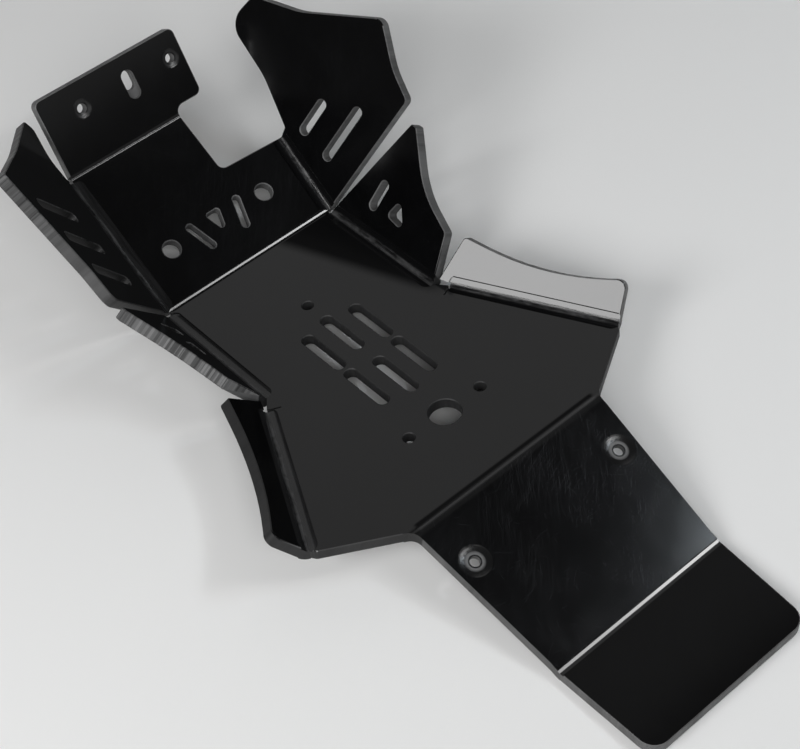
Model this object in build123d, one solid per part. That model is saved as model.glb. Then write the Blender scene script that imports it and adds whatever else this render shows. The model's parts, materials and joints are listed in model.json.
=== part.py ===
from build123d import *
import os
from math import atan2, degrees, hypot

# Skid plate of an off-road motorcycle: one thick plastic sheet, cut, grooved and folded.
# Every panel is drawn on its inner face, from its fold outwards. The floor's x runs to the
# motorcycle's right and its y forward from the drain hole. Angles are in degrees.

# Sheet and folds
sheet = 8.0
edge_break = 0.6
crease_radius = 0.3
wing_fold_radius = 2.0
crease_groove_half = 2.6
crease_groove_depth = 0.7
wing_groove_half = 6.2
wing_groove_depth = 1.0
groove_overrun = 1.0
groove_end_flat = 0.5

# Floor: folds round it, then its cut rear edge down to the waist
front_fold_y = 206.0
front_fold_half = 68.0
mid_fold_step = 4.0
mid_fold_rear_y = 94.0
mid_fold_length = 109.0
flank_front_step = 7.5
flank_front_y = 84.0
flank_rear_x = 131.7
flank_rear_y = -24.6
rear_corner_x = 129.5
rear_corner_y = -28.1
rear_corner_radius = 5.0
waist_x = 77.9
waist_y = -59.2
waist_radius = 10.0
fold_relief = 2.0
relief_width = 1.2
relief_length = 9.0

# Holes of the floor
drain_diameter = 22.0
drain_guard_diameter = 8.0
front_guard_y = 140.5
rear_guard_x = 30.5
slot_length = 41.0
slot_width = 9.0
slot_column_x = 20.5
outer_slot_ys = (53.5, 98.0)
middle_slot_ys = (48.5, 103.5)

# Front panel, with the pipe notch on its right
front_angle = 31.3
front_length = 115.5
left_foot_step = 2.0
right_foot_step = 4.0
right_fold_lean = 4.0
right_fold_length = 64.0
notch_x = 25.5
notch_floor = 66.5
notch_radius = 5.0
front_hole_diameter = 13.0
front_hole_x = 40.8
front_hole_up = 36.3
front_slot_width = 5.5
front_slot_length = 25.0
front_slot_x = 17.7
front_slot_up = 33.0
front_slot_heading = 73.0
front_window_half = 6.0
front_window_top = 44.5
front_window_bottom = 25.5
front_window_radius = 2.2

# Top tab
tab_angle = 32.2
tab_height = 58.7
tab_left = -68.5
tab_right = 48.7
tab_step = 7.2
tab_corner_radius = 5.0
tab_step_radius = 6.0
tab_hole_diameter = 7.0
tab_hole_x = 37.9
tab_hole_up = 39.5
tab_dish_diameter = 14.0
tab_dish_depth = 0.8
tab_slot_x = 2.5
tab_slot_width = 8.5
tab_slot_length = 14.5
tab_slot_up = 40.2
tab_seat_margin = 0.6
tab_seat_drop = 6.0
tab_seat_depth = 3.0

# Rear panel under the linkage, and the tail
rear_bend_y = 55.5
rear_bend_radius = 28.0
rear_angle = 20.3
rear_length = 111.3
rear_hole_diameter = 7.0
rear_hole_x = 61.1
rear_hole_down = 28.0
rear_dish_diameter = 21.5
rear_seat_diameter = 15.5
rear_dish_depth = 1.0
head_recess_diameter = 16.0
head_recess_depth = 3.0
crease_half = 68.5
tail_angle = 15.3
tail_length = 73.0
tail_end_half = 65.5
tail_corner_radius = 12.0

# Cheeks of the front panel: corners are x along the fold, y out from it and the corner's radius,
# with the heads' x counted on from the fold's top end
cheek_angle = 56.0
left_cheek_head = (
    (3.0, 4.0, 2.0),
    (19.5, 8.0, 30.0),
    (49.0, -4.5, 5.0),
    (55.0, 3.0, 3.0),
    (22.6, 59.1, 250.0),
    (-4.0, 114.0, 2.0),
)
left_cheek_foot = ((33.0, 86.0, 30.0), (9.5, 82.0, 8.0))
right_cheek_head = (
    (3.0, 7.0, 2.0),
    (42.0, 17.0, 60.0),
    (89.3, 18.8, 15.0),
    (89.9, 47.8, 11.0),
    (55.9, 71.7, 60.0),
    (9.6, 121.2, 8.0),
)
right_cheek_foot = ((41.6, 105.3, 60.0), (18.6, 100.3, 5.0))
cheek_slot_width = 7.5
cheek_slot_heading = 79.0
left_slot_length = 50.0
left_slot_run = 57.3
left_slot_out = 60.3
left_slot_pitch = 26.6
left_slot_step = 6.2
right_slots = (((57.6, 31.2), 31.0), ((33.6, 43.0), 48.0))

# Wings and flank flanges of the floor, with corners as on the cheeks
mid_wing_angle = 56.0
mid_wing_front = ((-41.5, 86.3, 2.0), (-46.5, 86.3, 2.0))
mid_wing_rear = ((36.5, 50.3, 70.0), (5.5, 34.5, 4.0))
mid_slot_width = 7.5
mid_slot_length = 24.0
mid_slot_run = 72.6
mid_slot_out = 29.3
mid_slot_heading = 102.0
mid_window_corners = ((52.5, 35.5), (59.5, 20.5), (41.5, 17.5))
mid_window_radius = 3.0
flank_angle = 50.0
flank_tip_overhang = 8.5
flank_front = ((-4.2, 33.0, 3.0), (-63.8, 17.9, 205.0))
flank_rear_height = 27.9
flank_rear_radius = 6.0


fold_line = ((0, 0), (1, 0))


class Fold:
    """A bend along a line of a panel. The line runs clockwise round the panel, seen from inside."""

    def __init__(self, panel, start, end, angle, radius, datum=0.0):
        first = panel.from_local_coords(Vector(*start))
        along = panel.from_local_coords(Vector(*end)) - first
        self.edge = Plane(first, x_dir=along, z_dir=panel.z_dir)
        self.length = along.length
        self.angle = angle
        self.radius = radius
        height = radius if angle > 0 else -sheet - radius
        turn = Pos(0, 0, height) * Rot(X=angle) * Pos(0, 0, -height)
        section = Rot(X=90) * Pos(self.length / 2, -sheet / 2) * Rectangle(self.length, sheet)
        self.hinge = self.edge.from_local_coords(Vector(0, 0, height))
        self.axis = Axis(self.hinge, along if angle > 0 else -along)
        self.bend = revolve(self.edge * section, self.axis, revolution_arc=abs(angle))
        self.folded = Plane(self.edge.location * turn)
        self.panel = Plane(self.folded.location * Pos(datum, 0, 0))

    def groove(self, half, depth):
        """A flat-bottomed groove with round ends, milled along the fold while the sheet was flat."""
        lift = self.radius / 2
        start, end = -groove_overrun, self.length + groove_overrun
        section = Pos(self.length / 2, (lift - depth) / 2) * Rectangle(end - start, lift + depth)
        cuts = [revolve(self.edge * Rot(X=90) * section, self.axis, revolution_arc=self.angle)]
        rounding = half - groove_end_flat
        for panel, y in ((self.edge, -half), (self.folded, half)):
            strip = outline((start, 0, 0), (end, 0, 0), (end, y, rounding), (start, y, rounding))
            cuts.append(extrude(panel * Pos(0, 0, -depth) * strip, amount=lift + depth, dir=panel.z_dir))
        return cuts


def cross_fold(panel, reach, half, angle, radius):
    """A fold square across the middle of a panel."""
    return Fold(panel, (-half, reach), (half, reach), angle, radius, half)


def outline(*corners):
    """A face through corners given as x, y and the corner's radius."""
    points = [corner[:2] for corner in corners]
    radii = [corner[2] for corner in corners]
    return make_face(FilletPolyline(*points, radius=radii, close=True))


def wing(fold, head, foot):
    """A wing's face on its fold. The head's corners are counted on from the fold's far end."""
    far = [(fold.length + x, y, radius) for x, y, radius in head]
    return outline((0, 0, 0), (fold.length, 0, 0), *far, *foot)


def runs_along(edge, start, end):
    """Whether both ends of an edge lie on the line through two points of a panel."""
    across = Vector(start[1] - end[1], end[0] - start[0], 0).normalized()
    return all(abs((edge @ t - Vector(*start)).dot(across)) < 0.01 for t in (0, 1))


def plate(panel, face, *fold_lines):
    """A flat stretch of the sheet below the panel's inner face. Its cut edges are broken, holes inside only."""
    flat = extrude(face, amount=-sheet)
    outside, inside = flat.faces().sort_by(Axis.Z)[0], flat.faces().sort_by(Axis.Z)[-1]
    rims = inside.edges() + outside.outer_wire().edges()
    cut_rims = [edge for edge in rims if not any(runs_along(edge, *line) for line in fold_lines)]
    return panel * chamfer(cut_rims, edge_break)


def slot(middle, length, width, heading):
    """A slot whose length points some degrees away from the panel's x."""
    return Pos(*middle) * Rot(Z=heading) * SlotOverall(length, width)


def seat(panel, place, rim, floor_diameter, depth):
    """A shallow round seat with a sloping rim, sunk into the inner face of a panel."""
    sketch = Pos(*place) * Circle(floor_diameter / 2)
    return loft([panel * Pos(0, 0, -depth) * sketch, panel * Pos(*place) * Circle(rim / 2)])


def both_sides(solid):
    return [solid, mirror(solid, about=Plane.YZ)]


# Floor and rear panel, trimmed together to one outline seen from above
floor = Plane.XY
rearward = Plane((0, 0, 0), x_dir=(-1, 0, 0), z_dir=(0, 0, 1))
blank_half = flank_rear_x + sheet
rear_fold = cross_fold(rearward, rear_bend_y, blank_half, -rear_angle, rear_bend_radius)
rear = rear_fold.panel
floor_length = front_fold_y + rear_bend_y
floor_blank = Pos(0, front_fold_y - floor_length / 2) * Rectangle(2 * blank_half, floor_length)
rear_blank = Pos(0, rear_length / 2) * Rectangle(2 * blank_half, rear_length)

crease_y = rear.from_local_coords(Vector(0, rear_length, 0)).Y
mid_fold_front_y = mid_fold_rear_y + mid_fold_length
mid_fold_x = front_fold_half + mid_fold_step
flank_front_x = mid_fold_x + flank_front_step
side = [
    (front_fold_half, front_fold_y, 0),
    (mid_fold_x, mid_fold_front_y, 0),
    (mid_fold_x, mid_fold_rear_y, 0),
    (flank_front_x, flank_front_y, 0),
    (flank_rear_x, flank_rear_y, 0),
    (rear_corner_x, rear_corner_y, rear_corner_radius),
    (waist_x, waist_y, waist_radius),
    (crease_half, crease_y + sheet, 0),
    (crease_half, crease_y - sheet, 0),
]
other_side = [(-x, y, radius) for x, y, radius in reversed(side)]
plan = outline(*side, *other_side)

# Drain hole, guard bolts and slots of the floor
plan -= Circle(drain_diameter / 2)
for place in ((0, front_guard_y), (-rear_guard_x, 0), (rear_guard_x, 0)):
    plan -= Pos(*place) * Circle(drain_guard_diameter / 2)
slot_places = [(x, y) for x in (-slot_column_x, slot_column_x) for y in outer_slot_ys]
slot_places += [(0, y) for y in middle_slot_ys]
for place in slot_places:
    plan -= slot(place, slot_length, slot_width, 90)
trim = extrude(plan, amount=front_fold_y, both=True)
floor_flat = extrude(floor_blank, amount=-sheet) & trim
rear_flat = extrude(rear * rear_blank, amount=-sheet)

# Edges broken on the floor: its holes inside, and its rim from the flank folds to the rear bend
floor_rims = []
for edge in floor_flat.edges():
    middle = edge.center()
    inside, outside = middle.Z > -sheet / 4, middle.Z < -3 * sheet / 4
    in_hole = hypot(middle.X, middle.Y) < drain_diameter or abs(middle.X) < slot_column_x + slot_width
    at_guard = abs(middle.Y) < drain_guard_diameter
    across = edge.length > slot_length and abs(edge.tangent_at(0.5).X) > 0.999
    on_rim = middle.Y < flank_rear_y and (inside or outside)
    if not across and (on_rim or inside and (in_hole or at_guard)):
        floor_rims.append(edge)
floor_body = chamfer(floor_rims, edge_break) + [(rear_fold.bend + rear_flat) & trim]

# Tail
tail_fold = cross_fold(rear, rear_length, crease_half, tail_angle, crease_radius)
tail = tail_fold.panel
tail_outline = outline(
    (-crease_half, 0, 0),
    (crease_half, 0, 0),
    (tail_end_half, tail_length, tail_corner_radius),
    (-tail_end_half, tail_length, tail_corner_radius),
)
tail_plate = plate(tail, tail_outline, fold_line)

# Front panel, with two round holes, two leaning slots and a rounded window between them
front_fold = cross_fold(floor, front_fold_y, front_fold_half, front_angle, crease_radius)
front = front_fold.panel
front_foot_left = -front_fold_half - left_foot_step
front_foot_right = front_fold_half + right_foot_step
right_fold_top_x = front_foot_right + right_fold_lean
left_share = 1 - fold_relief / front_length
left_fold_top = front_foot_left + left_share * (tab_left - front_foot_left)
left_fold_ends = ((front_foot_left, 0), (left_fold_top, left_share * front_length))
right_fold_ends = ((front_foot_right, 0), (right_fold_top_x, right_fold_length))
tab_fold_ends = ((tab_left, front_length), (notch_x, front_length))
front_outline = outline(
    (front_foot_left, 0, 0),
    (front_foot_right, 0, 0),
    (*right_fold_ends[1], 0),
    (notch_x, notch_floor, notch_radius),
    (notch_x, front_length, 0),
    (tab_left, front_length, 0),
)
front_outline -= outline(
    (-front_window_half, front_window_top, front_window_radius),
    (front_window_half, front_window_top, front_window_radius),
    (0, front_window_bottom, front_window_radius),
)
for s in (-1, 1):
    front_outline -= Pos(s * front_hole_x, front_hole_up) * Circle(front_hole_diameter / 2)
    slot_middle = (s * front_slot_x, front_slot_up)
    front_outline -= slot(slot_middle, front_slot_length, front_slot_width, s * front_slot_heading)
front_plate = plate(front, front_outline, fold_line, left_fold_ends, right_fold_ends, tab_fold_ends)

# Tab, with a bolt hole each side of a slot that sits in a longer recess
tab_fold = Fold(front, *tab_fold_ends, tab_angle, crease_radius, -tab_left)
tab = tab_fold.panel
tab_outline = outline(
    (tab_left, 0, 0),
    (notch_x, 0, 0),
    (notch_x, tab_step, tab_step_radius),
    (tab_right, tab_step, tab_corner_radius),
    (tab_right, tab_height, tab_corner_radius),
    (tab_left, tab_height, tab_corner_radius),
)
tab_holes = [(s * tab_hole_x, tab_hole_up) for s in (-1, 1)]
for place in tab_holes:
    tab_outline -= Pos(*place) * Circle(tab_hole_diameter / 2)
tab_outline -= slot((tab_slot_x, tab_slot_up), tab_slot_length, tab_slot_width, 90)
tab_plate = plate(tab, tab_outline, fold_line)
tab_plate -= [seat(tab, place, tab_dish_diameter, tab_hole_diameter, tab_dish_depth) for place in tab_holes]
recess_middle = (tab_slot_x, tab_slot_up - tab_seat_drop / 2)
recess_length = tab_slot_length + tab_seat_drop + 2 * tab_seat_margin
recess = slot(recess_middle, recess_length, tab_slot_width + 2 * tab_seat_margin, 90)
tab_plate -= extrude(tab * recess, amount=-tab_seat_depth)

# Left cheek of the front panel
left_fold = Fold(front, *left_fold_ends, cheek_angle, wing_fold_radius)
left_outline = wing(left_fold, left_cheek_head, left_cheek_foot)
for k in (-1, 0, 1):
    slot_middle = (left_slot_run + k * left_slot_pitch, left_slot_out + k * left_slot_step)
    left_outline -= slot(slot_middle, left_slot_length, cheek_slot_width, cheek_slot_heading)
left_cheek = plate(left_fold.panel, left_outline, fold_line)

# Right cheek, drawn as a left one and mirrored
right_fold = Fold(
    front, (-front_foot_right, 0), (-right_fold_top_x, right_fold_length), cheek_angle, wing_fold_radius
)
right_outline = wing(right_fold, right_cheek_head, right_cheek_foot)
for middle, length in right_slots:
    right_outline -= slot(middle, length, cheek_slot_width, cheek_slot_heading)
right_cheek = plate(right_fold.panel, right_outline, fold_line)

# Wings beside the floor, drawn on the left
mid_fold = Fold(
    floor, (-mid_fold_x, mid_fold_rear_y), (-mid_fold_x, mid_fold_front_y), mid_wing_angle, wing_fold_radius
)
mid_outline = wing(mid_fold, mid_wing_front, mid_wing_rear)
mid_outline -= slot((mid_slot_run, mid_slot_out), mid_slot_length, mid_slot_width, mid_slot_heading)
mid_outline -= outline(*[(*corner, mid_window_radius) for corner in mid_window_corners])
mid_wing = plate(mid_fold.panel, mid_outline, fold_line)

# Flanges along the floor's flanks, drawn on the left, each with a free tip past its fold
flank_fold = Fold(
    floor, (-flank_rear_x, flank_rear_y), (-flank_front_x, flank_front_y), flank_angle, wing_fold_radius
)
tip = (flank_tip_overhang, relief_width)
flank_outline = wing(flank_fold, ((*tip, 0), *flank_front), [(0, flank_rear_height, flank_rear_radius)])
tip_line = ((flank_fold.length, 0), (flank_fold.length + tip[0], tip[1]))
flank = plate(flank_fold.panel, flank_outline, fold_line, tip_line)
slit = Pos(flank_fold.length, -relief_length / 2) * Rectangle(relief_width, relief_length + relief_width)
relief = extrude(flank_fold.edge * slit, amount=sheet, both=True)

# One sheet
skid_plate = floor_body + [tail_fold.bend, tail_plate, front_fold.bend, front_plate, tab_fold.bend, tab_plate]
skid_plate += [left_fold.bend, left_cheek]
skid_plate += [mirror(solid, about=Plane.YZ) for solid in (right_fold.bend, right_cheek)]
for solid in (mid_fold.bend, mid_wing, flank_fold.bend, flank):
    skid_plate += both_sides(solid)

# Grooves milled along the folds
for crease in (tail_fold, front_fold, tab_fold):
    skid_plate -= crease.groove(crease_groove_half, crease_groove_depth)
skid_plate -= left_fold.groove(wing_groove_half, wing_groove_depth)
skid_plate -= [mirror(cut, about=Plane.YZ) for cut in right_fold.groove(wing_groove_half, wing_groove_depth)]
for pair_fold in (mid_fold, flank_fold):
    for cut in pair_fold.groove(wing_groove_half, wing_groove_depth):
        skid_plate -= both_sides(cut)
skid_plate -= both_sides(relief)

# Bolt holes of the rear panel, seated inside and sunk outside for the bolt heads
for s in (-1, 1):
    place = (s * rear_hole_x, rear_hole_down)
    bolt = rear * Pos(*place)
    skid_plate -= seat(rear, place, rear_dish_diameter, rear_seat_diameter, rear_dish_depth)
    skid_plate -= extrude(bolt * Circle(rear_hole_diameter / 2), amount=-2 * sheet)
    skid_plate -= extrude(
        bolt * Pos(0, 0, head_recess_depth - sheet) * Circle(head_recess_diameter / 2), amount=-sheet
    )

# Set down on the two creases that touch level ground, with its middle over the origin
rest_tilt = degrees(atan2(front_fold.hinge.Z - tail_fold.hinge.Z, front_fold.hinge.Y - tail_fold.hinge.Y))
skid_plate = Rot(X=-rest_tilt) * skid_plate
box = skid_plate.bounding_box()
skid_plate = Pos(0, -(box.min.Y + box.max.Y) / 2, -box.min.Z) * skid_plate

os.makedirs("parts", exist_ok=True)
export_step(skid_plate, "parts/skid_plate.step")
print("solids", len(skid_plate.solids()), "volume", round(skid_plate.volume), "valid", skid_plate.is_valid)
print("rest tilt", round(rest_tilt, 3), "box", box.min, box.max)
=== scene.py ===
import bmesh
import bpy
import json
import math
from mathutils import Matrix, Vector
from mathutils.bvhtree import BVHTree


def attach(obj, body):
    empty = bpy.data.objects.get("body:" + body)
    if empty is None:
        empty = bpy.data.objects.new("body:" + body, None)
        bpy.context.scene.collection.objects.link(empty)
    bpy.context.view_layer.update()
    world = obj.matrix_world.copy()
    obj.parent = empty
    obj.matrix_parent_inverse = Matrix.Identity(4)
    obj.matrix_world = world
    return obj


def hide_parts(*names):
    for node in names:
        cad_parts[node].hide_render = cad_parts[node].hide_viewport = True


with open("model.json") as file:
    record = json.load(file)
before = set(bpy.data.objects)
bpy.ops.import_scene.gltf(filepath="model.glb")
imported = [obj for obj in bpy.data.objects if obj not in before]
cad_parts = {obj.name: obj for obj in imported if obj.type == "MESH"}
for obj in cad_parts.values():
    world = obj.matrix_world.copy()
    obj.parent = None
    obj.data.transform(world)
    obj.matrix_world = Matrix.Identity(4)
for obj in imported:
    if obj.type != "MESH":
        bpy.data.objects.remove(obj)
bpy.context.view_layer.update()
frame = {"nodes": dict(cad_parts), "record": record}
mounts = {mount["name"]: mount for mount in frame["record"]["mounts"]}
print("frame loaded:", sorted(frame["nodes"]))


# A node socket that takes part in sums
class Wire:
    def __init__(self, tree, socket):
        self.tree = tree
        self.socket = socket

    def add(self, kind, settings, sockets, out=0):
        node = self.tree.nodes.new(kind)
        for key, value in settings.items():
            setattr(node, key, value)
        for key, value in sockets.items():
            if isinstance(value, Wire):
                self.tree.links.new(value.socket, node.inputs[key])
            else:
                node.inputs[key].default_value = value
        return Wire(self.tree, node.outputs[out])

    def maths(self, operation, first, second=0.0):
        return self.add("ShaderNodeMath", {"operation": operation}, {0: first, 1: second})

    def __add__(self, other):
        return self.maths("ADD", self, other)

    def __radd__(self, other):
        return self.maths("ADD", other, self)

    def __sub__(self, other):
        return self.maths("SUBTRACT", self, other)

    def __rsub__(self, other):
        return self.maths("SUBTRACT", other, self)

    def __mul__(self, other):
        return self.maths("MULTIPLY", self, other)

    def __truediv__(self, other):
        return self.maths("DIVIDE", self, other)

    def __abs__(self):
        return self.maths("ABSOLUTE", self)

    def cosine(self):
        return self.maths("COSINE", self)

    def least(self, other):
        return self.maths("MINIMUM", self, other)

    def most(self, other):
        return self.maths("MAXIMUM", self, other)

    def fade(self, low, high):  # 0 at low, 1 at high, eased between
        sockets = {"From Min": low, "From Max": high, "Value": self}
        return self.add("ShaderNodeMapRange", {"interpolation_type": "SMOOTHSTEP"}, sockets)

    def fall(self, low, high):  # 1 at low, 0 at high
        return 1 - self.fade(low, high)

    def raised(self, bottom):  # from bottom to 1, where it was from 0 to 1
        return self * (1 - bottom) + bottom

    def vector(self, operation, other, out=0):
        return self.add("ShaderNodeVectorMath", {"operation": operation}, {0: self, 1: other}, out)

    def dot(self, other):
        return self.vector("DOT_PRODUCT", other, "Value")

    def far(self, spot):  # the distance from a spot
        return self.vector("DISTANCE", spot, "Value")

    def parts(self):
        first = self.add("ShaderNodeSeparateXYZ", {}, {"Vector": self})
        return [Wire(self.tree, socket) for socket in first.socket.node.outputs]

    def objectSpot(self):
        return self.add("ShaderNodeTexCoord", {}, {}, "Object").parts()

    def scaled(self, x, y, turn=0.0):  # a map turned by some degrees, then stretched
        turned = self.add("ShaderNodeMapping", {}, {"Vector": self, "Rotation": (0, 0, math.radians(turn))})
        return turned.vector("MULTIPLY", (x, y, 1))

    def noise(self, scale, detail=2.0, rough=0.5, bend=0.0):
        sockets = {"Vector": self, "Scale": scale, "Detail": detail, "Roughness": rough, "Distortion": bend}
        return self.add("ShaderNodeTexNoise", {"noise_dimensions": "2D"}, sockets)

    def cells(self, scale, out="Color"):  # a random colour for each cell, or its Position
        sockets = {"Vector": self, "Scale": scale}
        return self.add("ShaderNodeTexVoronoi", {"voronoi_dimensions": "2D"}, sockets, out)

    def shade(self, dark, light):  # a colour between two others, of which the first may vary
        first = dark if isinstance(dark, Wire) else (*dark, 1)
        return self.add("ShaderNodeMix", {"data_type": "RGBA"}, {0: self, 6: first, 7: (*light, 1)}, 2)

    def bump(self):  # the height is in metres
        return self.add("ShaderNodeBump", {}, {"Strength": 1.0, "Distance": 1.0, "Height": self})


def startMaterial(name):
    material = bpy.data.materials.new(name)
    material.use_nodes = True
    shader = material.node_tree.nodes["Principled BSDF"]
    return material, shader


def feed(shader, sockets):  # links varying values into a shader
    for name, value in sockets.items():
        value.tree.links.new(value.socket, shader.inputs[name])


# The sheet's own mesh, merged from the CAD node's loose triangles
sheetSettings = {
    "name": "skidSheet",
    "mergeGap": 0.000004,
    "thickness": 0.008,
    "crispAngle": math.radians(24.0),
    "creaseCrisp": 0.03,  # the same beside a crease
    "normalWeight": 60,
}

sheetMesh = bmesh.new()
sheetMesh.from_mesh(frame["nodes"]["skid_plate"].data)
bmesh.ops.remove_doubles(sheetMesh, verts=sheetMesh.verts, dist=sheetSettings["mergeGap"])
bmesh.ops.recalc_face_normals(sheetMesh, faces=sheetMesh.faces)
sheetMesh.faces.ensure_lookup_table()
sheetMesh.faces.index_update()
print("sheet merged:", len(sheetMesh.verts), "vertices,", len(sheetMesh.faces), "faces")


# A panel is a large flat of the sheet that looks up, with axes of its own
class Panel:
    def __init__(self, normal, place):
        self.normal = normal
        self.place = place
        self.area = 0.0
        self.weighted = Vector()
        self.across = (Vector((1, 0, 0)) - normal * normal.x).normalized()
        self.along = normal.cross(self.across)
        self.low = Vector((math.inf, math.inf))
        self.high = -self.low

    def depth(self, point):
        return (self.place - point).dot(self.normal)

    def flat(self, point):
        offset = point - self.place
        return Vector((offset.dot(self.across), offset.dot(self.along)))

    def take(self, face):
        area = face.calc_area()
        self.area += area
        self.weighted += area * face.calc_center_median()
        for corner in face.verts:
            spot = self.flat(corner.co)
            self.low = Vector(map(min, self.low, spot))
            self.high = Vector(map(max, self.high, spot))

    @property
    def centre(self):
        return self.weighted / self.area

    def matches(self, normal, point, likeness, gap):
        return normal.dot(self.normal) > likeness and abs(self.depth(point)) < gap

    def holds(self, point, margin):
        spot = self.flat(point)
        inside = all(low - margin < s < high + margin for low, s, high in zip(self.low, spot, self.high))
        return inside and -margin < self.depth(point) < sheetSettings["thickness"] + margin


panelSearch = {
    "faceArea": 0.00004,  # square metres, below which a face is left out
    "faceRise": 0.1,  # least upward part of its normal
    "samePlane": (0.9999, 0.00015),  # cosine of the angle between two faces, and the gap
    "panelArea": 0.0018,
    "grooveFloor": (0.999, 0.002),  # a flat this like a panel is the floor of a groove in it
    "levelLean": 0.1,  # most sideways part of a level panel's normal
    "wingLean": 0.3,  # least of a wing's
    "wingSide": 0.04,  # least distance from the middle
    "depthWeight": 20,  # of a mount's distance off a panel, against the cosine of its lean
    "edgeMargin": 0.0008,
    "misfitWeight": 40,  # of a point's distance outside a panel's thickness
}
flats = []
for face in sorted(sheetMesh.faces, key=lambda face: -face.calc_area()):
    if face.normal.z < panelSearch["faceRise"] or face.calc_area() < panelSearch["faceArea"]:
        continue
    spot = face.verts[0].co
    for flat in flats:
        if flat.matches(face.normal, spot, *panelSearch["samePlane"]):
            flat.take(face)
            break
    else:
        flats.append(Panel(face.normal.copy(), spot.copy()))
        flats[-1].take(face)
flats.sort(key=lambda flat: -flat.area)
panels = []
for flat in flats:
    inGroove = any(panel.matches(flat.normal, flat.place, *panelSearch["grooveFloor"]) for panel in panels)
    if flat.area > panelSearch["panelArea"] and not inGroove:
        panels.append(flat)


def panelAt(mountName):
    spot = Vector(mounts[mountName]["pos_m"])
    axis = Vector(mounts[mountName]["axis"])
    weight = panelSearch["depthWeight"]
    return max(panels, key=lambda panel: -axis.dot(panel.normal) - weight * abs(panel.depth(spot)))


boltsOn = {"floor": "floor_bolt_front", "rear": "rear_bolt_left", "tab": "tab_bolt_left"}
named = {name: panelAt(mountName) for name, mountName in boltsOn.items()}
level = [panel for panel in panels if abs(panel.normal.x) < panelSearch["levelLean"]]
ends = [panel for panel in level if panel not in named.values()]
named["tail"], named["front"] = sorted(ends, key=lambda panel: panel.centre.y)
leaning = [panel for panel in panels if abs(panel.normal.x) > panelSearch["wingLean"]]
leaning.sort(key=lambda panel: panel.centre.y)
for side, sign in (("Left", -1), ("Right", 1)):
    wings = [panel for panel in leaning if sign * panel.centre.x > panelSearch["wingSide"]]
    for part, wing in zip(("flank", "wing", "cheek"), wings):
        named[part + side] = wing
for name, panel in named.items():
    print("panel", name, round(panel.area * 1e6), "mm2", [round(c, 3) for c in panel.centre])


def nearestPanel(point, normal):
    near = [panel for panel in named.values() if panel.holds(point, panelSearch["edgeMargin"])]
    half = sheetSettings["thickness"] / 2

    def misfit(panel):
        lean = abs(normal.dot(panel.normal))
        outside = max(0, abs(panel.depth(point) - half) - half)
        return min(lean, 1 - lean) + panelSearch["misfitWeight"] * outside

    return min(near or named.values(), key=misfit)


# A fold is the line where two panels' faces would meet
class Fold:
    def __init__(self, first, second, crease=None):
        self.second = second
        self.wide = crease is None
        wingKind = 2.0 if second.centre.x < 0 else 1.0  # left and right wings' grooves
        self.kind, self.reach = crease or (wingKind, 0.0)
        self.along = first.normal.cross(second.normal).normalized()
        self.across = (first.normal + second.normal).cross(self.along).normalized()
        start = first.centre
        climb = first.normal.cross(self.along).normalized()
        self.place = start + climb * second.depth(start) / climb.dot(second.normal)
        if self.across.dot(start - self.place) < 0:
            self.across.negate()
        self.climbs = []  # away from the fold in each panel
        for panel in (first, second):
            climb = panel.normal.cross(self.along).normalized()
            self.climbs.append(climb if climb.dot(panel.centre - self.place) > 0 else -climb)

    def gap(self, point):
        offset = point - self.place
        return (offset - self.along * offset.dot(self.along)).length

    def flat(self, point):  # along the fold, then off it, above zero on the first panel's side
        offset = point - self.place
        onFirst = offset.dot(self.across) > 0
        off = offset.dot(self.climbs[0]) if onFirst else -offset.dot(self.climbs[1])
        return Vector((offset.dot(self.along), off))


# A bolt's seat is mapped by the distance from its axis
class BoltSeat:
    shift = 0.0

    def __init__(self, mount):
        self.place = Vector(mount["pos_m"])
        self.axis = Vector(mount["axis"])

    def gap(self, point):
        return (self.place - point).length

    def flat(self, point):
        offset = point - self.place
        return Vector(((offset - self.axis * offset.dot(self.axis)).length, 0))


creasePairs = {  # slope beside each line, and how far out it goes
    ("front", "floor"): (0.212, 0.00145),
    ("tab", "front"): (-0.30, 0.00045),
    ("rear", "tail"): (0.13, 0.00195),
}
wingPairs = [("front", "cheekLeft"), ("front", "cheekRight")]
wingPairs += [("floor", part + side) for part in ("wing", "flank") for side in ("Left", "Right")]
folds = [Fold(named[first], named[second], crease) for (first, second), crease in creasePairs.items()]
folds += [Fold(named[first], named[second]) for first, second in wingPairs]
boltSeats = [BoltSeat(mounts[name]) for name in mounts if name.startswith(("rear_bolt", "tab_bolt"))]

# Finish of each face: the skin, a cut wall, a groove along a fold or a machined seat
skin, cutWall, groove, seat = range(4)
finishSettings = {
    "mapStep": 0.8,  # spacing of the panels and folds on the flat map
    "skinLean": 0.998,  # cosine of the angle to the panel
    "skinGap": 0.00005,
    "seatLean": 0.6,
    "seatRadius": 0.013,
    "bendLean": 0.9,
    "bendSide": 0.02,  # sideways part of a normal on the bend behind the floor
    "curveLean": 0.8,
    "curveMargin": -0.0002,  # the outer curve of a fold lies beyond its panel's box
    "grooveLean": -0.1,
    "grooveDepths": (-0.0004, 0.00115),
    "creaseReach": 0.0031,
    "wingReach": 0.0078,
    "foldMargin": 0.014,  # how far beyond the second panel's box its fold's groove may lie
    "slotWidth": 0.045,  # furthest that two walls of one slot face each other
    "slotStart": 0.0001,
}
# Per panel: the walls' tone is partly painted shade, lighter or darker panel by panel as light falls on them,
# and the darker slot tone is painted shade inside slots
plainPanel = {"scuff": 0.3, "wall": 1.0, "slot": 0.8, "seat": 1.0, "dull": 0.0}
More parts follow.
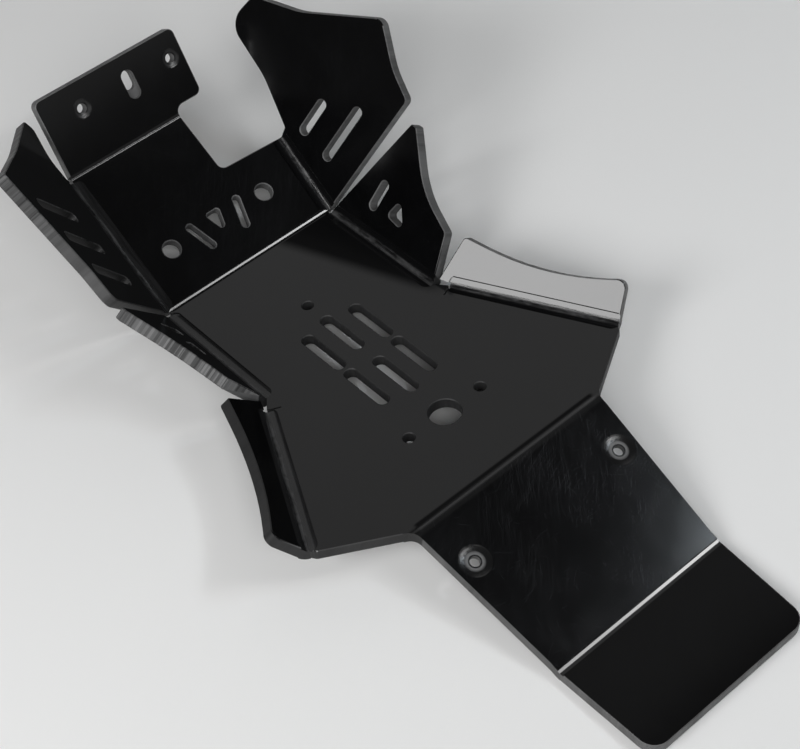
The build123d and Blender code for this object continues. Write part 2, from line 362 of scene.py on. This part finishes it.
panelSettings = {  # 2 added to a wall's tone marks it as chattered in places, 4 all along
    "floor": {"scuff": 0.1, "wall": 0.12, "slot": 0.12},
    "rear": {"scuff": 1.0, "wall": 0.75},
    "tail": {"scuff": 0.1, "wall": 0.8},
    "front": {"scuff": 0.45},
    "tab": {"scuff": 0.35, "wall": 1.05, "slot": 1.05, "seat": 0.12},
    # The left wings' matt share is painted reflection: a flat matt colour in place of their reflections
    "cheekLeft": {"wall": 2.38, "slot": 0.05, "dull": 0.95},
    "wingLeft": {"wall": 4.9, "slot": 0.05, "dull": 0.95},
    "flankLeft": {"wall": 0.1, "dull": 0.3},
    "flankRight": {"scuff": 0.05},
}
for name, panel in named.items():
    panel.look = {**plainPanel, **panelSettings.get(name, {})}
for step, home in enumerate([*named.values(), *folds]):
    home.shift = step * finishSettings["mapStep"]
flatMap = sheetMesh.loops.layers.uv.new("sheetFlat")
kindMap = sheetMesh.loops.layers.uv.new("sheetKind")  # two numbers that each finish reads in its own way
surface = BVHTree.FromBMesh(sheetMesh)


def mapped(home, point):  # on the flat map, where each panel and fold has its own place
    return home.flat(point) + Vector((home.shift, 0))


def grooveOf(face, panel):  # the fold whose groove the face is in, if any
    depths = [panel.depth(corner.co) for corner in face.verts]
    highest, deepest = finishSettings["grooveDepths"]
    turnedAway = face.normal.dot(panel.normal) < finishSettings["grooveLean"]
    if turnedAway or min(depths) < highest or max(depths) > deepest:
        return None
    middle = face.calc_center_median()
    near = []
    for fold in folds:
        reach = finishSettings["wingReach" if fold.wide else "creaseReach"]
        if fold.gap(middle) < reach and fold.second.holds(middle, finishSettings["foldMargin"]):
            near.append(fold)
    return min(near, key=lambda fold: fold.gap(middle), default=None)


def inSlot(face, panel):  # a slot's wall faces another wall of its own panel
    start = face.calc_center_median() + face.normal * finishSettings["slotStart"]
    place, facing = surface.ray_cast(start, face.normal, finishSettings["slotWidth"])[:2]
    return place is not None and nearestPanel(place, facing) is panel


def finishOf(face, panel, fold, bolt):
    middle = face.calc_center_median()
    lean = face.normal.dot(panel.normal)
    depth = panel.depth(middle)
    offFace = min(abs(depth), abs(depth - sheetSettings["thickness"]))
    if abs(lean) > finishSettings["skinLean"] and offFace < finishSettings["skinGap"]:
        return skin
    if fold:
        return groove
    if lean > finishSettings["seatLean"] and bolt.gap(middle) < finishSettings["seatRadius"]:
        return seat
    besideBend = panel in (named["floor"], named["rear"]) and abs(face.normal.x) < finishSettings["bendSide"]
    if besideBend and abs(lean) > finishSettings["bendLean"]:
        return skin
    onCurve = not panel.holds(middle, finishSettings["curveMargin"])
    return skin if onCurve and abs(lean) > finishSettings["curveLean"] else cutWall


def numbersOf(face, panel, fold, finish):
    if finish == groove:
        return fold.reach, fold.kind
    tone = {skin: "scuff", seat: "seat", cutWall: "wall"}[finish]
    # painted shade: walls inside a slot take their panel's darker slot tone
    if finish == cutWall and inSlot(face, panel):
        tone = "slot"
    # the first number is the panel's share of painted reflection, a flat matt colour in place of its gloss
    return panel.look["dull"], panel.look[tone]


finishCount = [0, 0, 0, 0]
creaseFaces = set()
for face in sheetMesh.faces:
    middle = face.calc_center_median()
    panel = nearestPanel(middle, face.normal)
    fold = grooveOf(face, panel)
    bolt = min(boltSeats, key=lambda bolt: bolt.gap(middle))
    finish = finishOf(face, panel, fold, bolt)
    numbers = numbersOf(face, panel, fold, finish)
    home = {groove: fold, seat: bolt}.get(finish, panel)
    if finish == groove and not fold.wide:
        creaseFaces.add(face.index)
    face.material_index = finish
    face.smooth = True
    finishCount[finish] += 1
    for loop in face.loops:
        loop[flatMap].uv = mapped(home, loop.vert.co)
        loop[kindMap].uv = numbers
print("faces: skin %d, cut walls %d, grooves %d, seats %d" % tuple(finishCount))

for edge in sheetMesh.edges:
    finishes = {face.material_index for face in edge.link_faces}
    inCrease = any(face.index in creaseFaces for face in edge.link_faces)
    limit = sheetSettings["creaseCrisp" if inCrease else "crispAngle"]
    edge.smooth = len(finishes) == 1 and edge.calc_face_angle(0) < limit

sheetData = bpy.data.meshes.new(sheetSettings["name"])
sheetMesh.to_mesh(sheetData)
if "custom_normal" in sheetData.attributes:  # the loose triangles' own normals
    sheetData.attributes.remove(sheetData.attributes["custom_normal"])
sheet = bpy.data.objects.new(sheetSettings["name"], sheetData)
bpy.context.scene.collection.objects.link(sheet)
facing = sheet.modifiers.new("facing", "WEIGHTED_NORMAL")
facing.mode = "FACE_AREA"
facing.weight = sheetSettings["normalWeight"]
facing.keep_sharp = True


def startFinish(name):  # a material that reads the sheet's two maps
    material, shader = startMaterial(name)
    glossy = Wire(material.node_tree, shader.outputs[0])
    flat = glossy.add("ShaderNodeUVMap", {"uv_map": "sheetFlat"}, {})
    numbers = glossy.add("ShaderNodeUVMap", {"uv_map": "sheetKind"}, {}).parts()
    return material, shader, flat, numbers[:2]


# Fine curved scratches, one to a cell, each with a chance direction, bow and size
strokeSettings = {"turn": 6.28, "bow": 1.2, "edge": (0.4, 1.6), "reach": (0.05, 0.6), "faint": (0.05, 0.8)}


def strokeLayer(flat, perMetre, width, shift):
    spots = flat.vector("ADD", (shift, shift, 0))
    chance, bend, size = spots.cells(perMetre).parts()
    offset = spots.vector("SUBTRACT", spots.cells(perMetre, "Position"))
    sockets = {"Vector": offset, "Angle": chance * strokeSettings["turn"]}
    turned = flat.add("ShaderNodeVectorRotate", {"rotation_type": "Z_AXIS"}, sockets)
    ahead, aside = turned.parts()[:2]
    bowed = aside + (bend - 0.5) * ahead * ahead * strokeSettings["bow"] * perMetre
    line = abs(bowed).fall(*(width * share for share in strokeSettings["edge"]))
    shortest, longest = strokeSettings["reach"]
    reach = abs(ahead).fall(shortest / perMetre, size * longest / perMetre)
    return line * reach * size.fade(*strokeSettings["faint"])


# Black skin of the sheet: soft gloss, clouded by handling, with scratches and hair lines
skinSettings = {
    "dark": (0.0018, 0.0018, 0.0020),
    "worn": (0.0042, 0.0043, 0.0047),
    "scratch": (0.040, 0.041, 0.045),
    "gloss": 0.12,
    "haze": 0.035,
    "wornHaze": 0.02,
    "ior": 1.5,
    "clouds": (11, 5, 0.6, 0.6),  # scale, detail, roughness and distortion, as in each noise
    "cloudShare": 0.6,
    "cloudHeight": 0.00002,
    "wipes": (38, 4, 0.6, 0.8),
    "wipeMap": (1, 0.35, 38),
    "smudge": (0.40, 0.68),
    "leastSmudge": 0.2,
    "waves": (16, 1),
    "waveHeight": 0.00006,
    "strokes": ((33, 0.00006, 0.3), (66, 0.00006, 9.7), (95, 0.00005, 3.3)),  # cells to a metre, width, shift
    "strokeShare": 0.4,
    "hairs": ((24, 1500, -51), (18, 2100, -43), (30, 1700, -60), (26, 2300, -20)),  # two scales, then a turn
    "hairNoise": (1, 2, 0.5),
    "hairEdge": (0.56, 0.76),
    "hairShare": 0.26,
    "hairPatches": (19, 3, 0.6, 0.5),
    "hairPatchEdge": (0.30, 0.62),
    "hairSide": (-0.07, 0.02),  # across the plate, with fewest on the left
    "leastHairs": 0.25,
}
rippleSettings = {"start": 0.0088, "from": 0.0098, "to": 0.0165, "spacing": 0.0023, "height": 0.000012}
# Painted shade and painted highlight: a dark line and a pale one along the bend behind the floor stand in for
# the shading of a shallow groove that is not cut in the solid
paintedBendSettings = {
    "dark": (-0.1105, 0.0006, 0.0023),  # middle of a line, and how far off it is full and gone
    "pale": (-0.1139, 0.0004, 0.0020),
    "ends": (0.0730, 0.0765),
    "drops": (0.004, 0.003),  # below the fold, where the lines are gone and full
    "paintedHighlightColour": (0.016, 0.016, 0.0165),
    "paintedShadeShare": 0.85,
}
# Painted reflection: flat matt colours in place of reflections, dark for the patch on the floor beside the
# right wing, which stands for that wing's mirror image, and lifted for the left wings
paintedReflectionSettings = {
    "first": (0.028, 0.140, 0.009),  # two spots on the patch's edge
    "last": (0.063, 0.045, 0.020),
    "centre": (0.056, 0.100, 0.013),
    "edge": (-0.005, 0.007),
    "reach": (0.056, 0.078),
    "share": 0.9,
    "colours": ((0.003, 0.003, 0.0032), (0.017, 0.017, 0.0174)),
    "rough": 0.9,
}


def seatRipples(flat):  # faint rings round the rear seats
    near = rippleSettings["from"]
    heights = []
    for name in ("rear_bolt_left", "rear_bolt_right"):
        off = flat.far((*mapped(named["rear"], Vector(mounts[name]["pos_m"])), 0))
        wave = (off * (math.tau / rippleSettings["spacing"])).cosine()
        inside = off.fade(rippleSettings["start"], near) * off.fall(near, rippleSettings["to"])
        heights.append(wave * inside * rippleSettings["height"])
    return sum(heights)


# painted shade and painted highlight along the bend behind the floor
def paintedBendLines(side, fore, up):  # a dark line and a pale one along the bend behind the floor
    top = Fold(named["floor"], named["rear"]).place.z
    ends = abs(side).fall(*paintedBendSettings["ends"]) * up.fade(*(top - drop for drop in paintedBendSettings["drops"]))
    lines = (paintedBendSettings["dark"], paintedBendSettings["pale"])
    return [abs(fore - middle).fall(full, gone) * ends for middle, full, gone in lines]


# painted reflection: a dark matt patch where the right wings would be mirrored in the floor
def paintedWingReflection(flat):  # on the floor beside the right wing
    spots = (Vector(paintedReflectionSettings[name]) for name in ("first", "last", "centre"))
    first, last, centre = (mapped(named["floor"], spot) for spot in spots)
    aside = (last - first).orthogonal().normalized()
    if aside.dot(centre - first) < 0:
        aside.negate()
    off = flat.vector("SUBTRACT", (*first, 0)).dot((*aside, 0))
    inside = flat.far((*centre, 0)).fall(*paintedReflectionSettings["reach"])
    return off.fade(*paintedReflectionSettings["edge"]) * inside * paintedReflectionSettings["share"]


def paintSkin():
    material, shader, flat, (dull, wear) = startFinish("sheetSkin")
    side, fore, up = flat.objectSpot()
    clouds = flat.noise(*skinSettings["clouds"])
    wipes = flat.scaled(*skinSettings["wipeMap"]).noise(*skinSettings["wipes"])
    smudge = clouds * skinSettings["cloudShare"] + wipes * (1 - skinSettings["cloudShare"])
    smudge = smudge.fade(*skinSettings["smudge"]) * wear.raised(skinSettings["leastSmudge"])
    strokes = sum(strokeLayer(flat, *stroke) for stroke in skinSettings["strokes"])
    strokes = strokes.least(1.0) * skinSettings["strokeShare"]
    hairs = [flat.scaled(*hair).noise(*skinSettings["hairNoise"]) for hair in skinSettings["hairs"]]
    hairs = sum(hair.fade(*skinSettings["hairEdge"]) for hair in hairs)
    patches = flat.noise(*skinSettings["hairPatches"]).fade(*skinSettings["hairPatchEdge"])
    patches = patches * side.fade(*skinSettings["hairSide"]).raised(skinSettings["leastHairs"])
    scratches = (strokes + hairs * patches * wear * skinSettings["hairShare"]).least(1.0) * wear
    paintedBendShade, paintedBendHighlight = paintedBendLines(side, fore, up)
    colour = smudge.shade(skinSettings["dark"], skinSettings["worn"])
    colour = scratches.shade(colour, skinSettings["scratch"])
    # painted highlight: the pale line along the bend
    colour = paintedBendHighlight.shade(colour, paintedBendSettings["paintedHighlightColour"])
    rough = skinSettings["gloss"] + smudge * skinSettings["haze"] + wear * wear * skinSettings["wornHaze"]
    height = flat.noise(*skinSettings["waves"]) * skinSettings["waveHeight"]
    height = height + clouds * skinSettings["cloudHeight"] + seatRipples(flat)
    feed(shader, {"Base Color": colour, "Roughness": rough, "Normal": height.bump()})
    shader.inputs["IOR"].default_value = skinSettings["ior"]

    # Painted reflection and painted shade, as a matt mix: the left wings, lifted in colour in place of their
    # reflections; the patch on the floor, a dark painted reflection of the right wing; and the bend's dark
    # line, painted shade
    paintedReflectionColour = dull.shade(*paintedReflectionSettings["colours"])
    sockets = {"Base Color": paintedReflectionColour, "Roughness": paintedReflectionSettings["rough"], "Specular IOR Level": 0.0}
    glossy = Wire(flat.tree, shader.outputs[0])
    matt = flat.add("ShaderNodeBsdfPrincipled", {}, sockets)
    share = dull.most(paintedWingReflection(flat)).most(paintedBendShade * paintedBendSettings["paintedShadeShare"])
    mixed = flat.add("ShaderNodeMixShader", {}, {0: share, 1: glossy, 2: matt})
    feed(flat.tree.nodes["Material Output"], {"Surface": mixed})
    return material


# Cut walls: paler and matt, in bands where the cutter chattered; the tone of each panel's walls is partly
# painted shade, and darker inside slots
wallSettings = {
    "dark": (0.008, 0.008, 0.0083),
    "pale": (0.165, 0.165, 0.166),
    "rough": 0.44,
    "specular": 0.3,
    "rattled": (1.9, 2.0),  # tones from which a wall counts as chattered in places, and all along
    "fully": (3.9, 4.0),
    "rattledFrom": (0.160, 0.185),  # along the plate
    "bands": (230.0, 640.0),
    "bandMiddle": 0.55,
    "bandTone": 1.5,
    "bandGloss": 0.12,
    "bandHeight": 0.00003,
    "faint": (17, 1),  # noise where other walls are faintly chattered
    "faintEdge": (0.42, 0.54),
    "faintShare": 0.2,
    "drift": (24, 3, 0.55),
    "driftEdge": (0.30, 0.70),
    "driftTone": 0.4,
    "combs": (900, 2, 0.6),
    "combTone": 0.2,
    "combRough": 0.16,
    "combHeight": 0.00004,
    "leastTone": 0.35,
}


def paintWall():
    material, shader, flat, numbers = startFinish("milledWall")
    toneAndShade = numbers[1]
    bands = sum(flat.cells(scale).parts()[0] * 0.5 for scale in wallSettings["bands"])
    rattled = toneAndShade.fade(*wallSettings["rattled"])
    fully = toneAndShade.fade(*wallSettings["fully"])
    fore = flat.objectSpot()[1]
    chatter = (fore.fade(*wallSettings["rattledFrom"]) * rattled).most(fully)
    faint = flat.noise(*wallSettings["faint"]).fade(*wallSettings["faintEdge"])
    chatter = chatter.most(faint * wallSettings["faintShare"])
    drift = flat.noise(*wallSettings["drift"]).fade(*wallSettings["driftEdge"])
    combs = flat.noise(*wallSettings["combs"])
    tone = drift * wallSettings["driftTone"] + combs * wallSettings["combTone"] + wallSettings["leastTone"]
    tone = tone + (bands - wallSettings["bandMiddle"]) * chatter * wallSettings["bandTone"]
    # the panel's wall tone, partly painted shade, scales the wall's colour
    tone = tone * (toneAndShade - rattled * 2 - fully * 2)
    colour = tone.shade(wallSettings["dark"], wallSettings["pale"])
    rough = wallSettings["rough"] + combs * wallSettings["combRough"]
    rough = rough - bands * chatter * wallSettings["bandGloss"]
    height = combs * wallSettings["combHeight"] + bands * wallSettings["bandHeight"]
    feed(shader, {"Base Color": colour, "Roughness": rough, "Normal": height.bump()})
    shader.inputs["Specular IOR Level"].default_value = wallSettings["specular"]
    return material


# Grooves along the folds: creases whose sides catch a line of light, and wide dark wing grooves
grooveSettings = {
    "dark": (0.0040, 0.0040, 0.0043),
    "pale": (0.046, 0.046, 0.047),
    "rough": 0.13,
    "streakRough": 0.4,
    "wide": (0.8, 0.9),  # kinds from which a groove counts as a wing's, and as a left wing's
    "left": (1.4, 1.6),
    "shoulder": 0.12,  # slope beyond a crease's own
    "wingHollow": 26.0,
    "middle": (0.0004, 0.0026),
    "streakMap": (38, 500),
    "streaks": (1, 3, 0.55, 0.6),
    "lumpMap": (150, 480),
    "lumps": (1, 2, 0.5, 0.7),
    "markShare": 0.6,
    "markEdge": (0.48, 0.78),
    "markHeight": 0.00014,
    "leftTone": 0.5,
    "lip": (0.0054, 0.0061),
    "lipRise": 0.0005,
}


def paintGroove():
    material, shader, flat, (reach, kind) = startFinish("foldGroove")
    wide = kind.fade(*grooveSettings["wide"])
    left = kind.fade(*grooveSettings["left"])
    off = flat.parts()[1]
    streaks = flat.scaled(*grooveSettings["streakMap"]).noise(*grooveSettings["streaks"])
    lumps = flat.scaled(*grooveSettings["lumpMap"]).noise(*grooveSettings["lumps"])
    middle = abs(off).fall(*grooveSettings["middle"])
    marks = streaks * grooveSettings["markShare"] + lumps * grooveSettings["markShare"]
    tone = middle * marks.fade(*grooveSettings["markEdge"]) * wide
    tone = tone + left * streaks * grooveSettings["leftTone"]
    colour = tone.shade(grooveSettings["dark"], grooveSettings["pale"])
    rough = grooveSettings["rough"] + middle * streaks * grooveSettings["streakRough"] * wide
    crease = abs(off).least(reach) * kind - (abs(off) - reach).most(0.0) * grooveSettings["shoulder"]
    side = off.most(0.0)
    lip = abs(off).fade(*grooveSettings["lip"]) * grooveSettings["lipRise"] * (1 - left)
    hollow = side * side * grooveSettings["wingHollow"] + lip
    cuts = (streaks + lumps) * middle * grooveSettings["markHeight"]
    height = crease * (1 - wide) + (hollow + cuts) * wide
    feed(shader, {"Base Color": colour, "Roughness": rough, "Normal": height.bump()})
    return material


# Bolt seats: faced by a turning cutter, so ringed, matt and palest midway out
seatSettings = {
    "dark": (0.006, 0.006, 0.0062),
    "pale": (0.125, 0.125, 0.126),
    "rough": 0.20,
    "paleRough": 0.25,
    "ringRough": 0.05,
    "inner": (0.0040, 0.0048),
    "outer": (0.0052, 0.0072),
    "rings": (1400, 2, 0.6),
    "leastTone": 0.5,
    "ringTone": 0.8,
    "ringHeight": 0.00004,
}


def paintSeat():
    material, shader, flat, numbers = startFinish("boltSeat")
    off = flat.parts()[0]
    rings = flat.noise(*seatSettings["rings"])
    pale = off.fade(*seatSettings["inner"]) * off.fall(*seatSettings["outer"]) * numbers[1]
    tone = pale * (seatSettings["leastTone"] + rings * seatSettings["ringTone"])
    colour = tone.shade(seatSettings["dark"], seatSettings["pale"])
    rough = seatSettings["rough"] + pale * seatSettings["paleRough"] + rings * seatSettings["ringRough"]
    height = rings * seatSettings["ringHeight"]
    feed(shader, {"Base Color": colour, "Roughness": rough, "Normal": height.bump()})
    return material


for paint in (paintSkin, paintWall, paintGroove, paintSeat):
    sheetData.materials.append(paint())
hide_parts("skid_plate")
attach(sheet, "root")
print("sheet finished:", [material.name for material in sheetData.materials])


# Plain pale floor
floorSettings = {"half": 5.0, "colour": (0.84, 0.84, 0.835, 1), "rough": 0.6, "specular": 0.2}
floorMesh = bmesh.new()
bmesh.ops.create_grid(floorMesh, x_segments=1, y_segments=1, size=floorSettings["half"])
floorData = bpy.data.meshes.new("studioFloor")
floorMesh.to_mesh(floorData)
studioFloor = bpy.data.objects.new("studioFloor", floorData)
bpy.context.scene.collection.objects.link(studioFloor)
floorMaterial, floorShader = startMaterial("paleFloor")
floorShader.inputs["Base Color"].default_value = floorSettings["colour"]
floorShader.inputs["Roughness"].default_value = floorSettings["rough"]
floorShader.inputs["Specular IOR Level"].default_value = floorSettings["specular"]
floorData.materials.append(floorMaterial)
print("floor laid")


# Soft studio light: each lamp stands off a target in a direction, and glows evenly over its face
plainLamp = {"from": (0, 0, 1), "far": 1.2, "tint": (1, 1, 1)}
lampSettings = {
    "flankBox": {"from": (-0.84, -0.035, 0.54), "at": (0.115, -0.01, 0.04), "far": 1.6,
                 "size": (0.62, 0.58), "glow": 10.0},
    "cameraSideBox": {"from": (-0.42, -0.62, 0.66), "at": (0, 0, 0), "far": 6.0,
                      "size": (3.5, 3.5), "glow": 4.3},
    "floorPanel": {"from": (0.383, 0.665, 0.641), "at": (0, 0, 0.02), "far": 2.2,
                   "size": (2.2, 1.2), "glow": 0.46},
    "creaseStripLeft": {"at": (0.375, -0.72, 0), "size": (0.17, 0.14), "glow": 8.5},
    "creaseStripMiddle": {"at": (0.54, -0.72, 0), "size": (0.16, 0.14), "glow": 14.0},
    "creaseStripRight": {"at": (0.745, -0.72, 0), "size": (0.25, 0.14), "glow": 20.0},
    "rearCorner": {"at": (0.81, -0.50, 0), "size": (0.22, 0.24), "glow": 14.0, "tint": (0.84, 0.93, 1.0)},
    "bendStrip": {"at": (0.56, 0.46, 0), "size": (0.7, 0.12), "glow": 0.55},
    "tailPanel": {"at": (0.60, 0.225, 0), "size": (0.55, 0.19), "glow": 0.12},
    "tabPanel": {"from": (0.36, -0.86, 0.44), "at": (0, 0.27, 0.08), "far": 2.5,
                 "size": (1.6, 0.5), "glow": 0.28},
}
for name, changes in lampSettings.items():
    lamp = {**plainLamp, **changes}
    light = bpy.data.lights.new(name, "AREA")
    light.shape = "RECTANGLE"
    light.size, light.size_y = lamp["size"]
    light.energy = lamp["glow"] * math.pi * light.size * light.size_y
    light.color = lamp["tint"]
    holder = bpy.data.objects.new(name, light)
    direction = Vector(lamp["from"]).normalized()
    holder.location = Vector(lamp["at"]) + direction * lamp["far"]
    holder.rotation_euler = direction.to_track_quat("Z", "Y").to_euler()
    bpy.context.scene.collection.objects.link(holder)

worldSettings = {"Color": (1, 1, 1, 1), "Strength": 0.045}
world = bpy.data.worlds.new("studio")
bpy.context.scene.world = world
world.use_nodes = True
for name, value in worldSettings.items():
    world.node_tree.nodes["Background"].inputs[name].default_value = value
print("lights:", list(lampSettings))


# Camera at the photograph's angle
cameraSettings = {
    "place": (-0.463233, -0.583764, 0.945369),
    "target": (0.004088, -0.005744, 0.02),
    "roll": -2.872,
    "lens": 81.515,
    "sensor": 36.0,
}
lens = bpy.data.cameras.new("photoCamera")
lens.lens = cameraSettings["lens"]
lens.sensor_width = cameraSettings["sensor"]
camera = bpy.data.objects.new("photoCamera", lens)
sight = Vector(cameraSettings["target"]) - Vector(cameraSettings["place"])
turn = sight.to_track_quat("-Z", "Y").to_matrix().to_4x4()
roll = Matrix.Rotation(math.radians(cameraSettings["roll"]), 4, "Z")
camera.matrix_world = Matrix.Translation(cameraSettings["place"]) @ turn @ roll
bpy.context.scene.collection.objects.link(camera)
bpy.context.scene.camera = camera
bpy.context.scene.view_settings.view_transform = "Standard"
print("camera set")
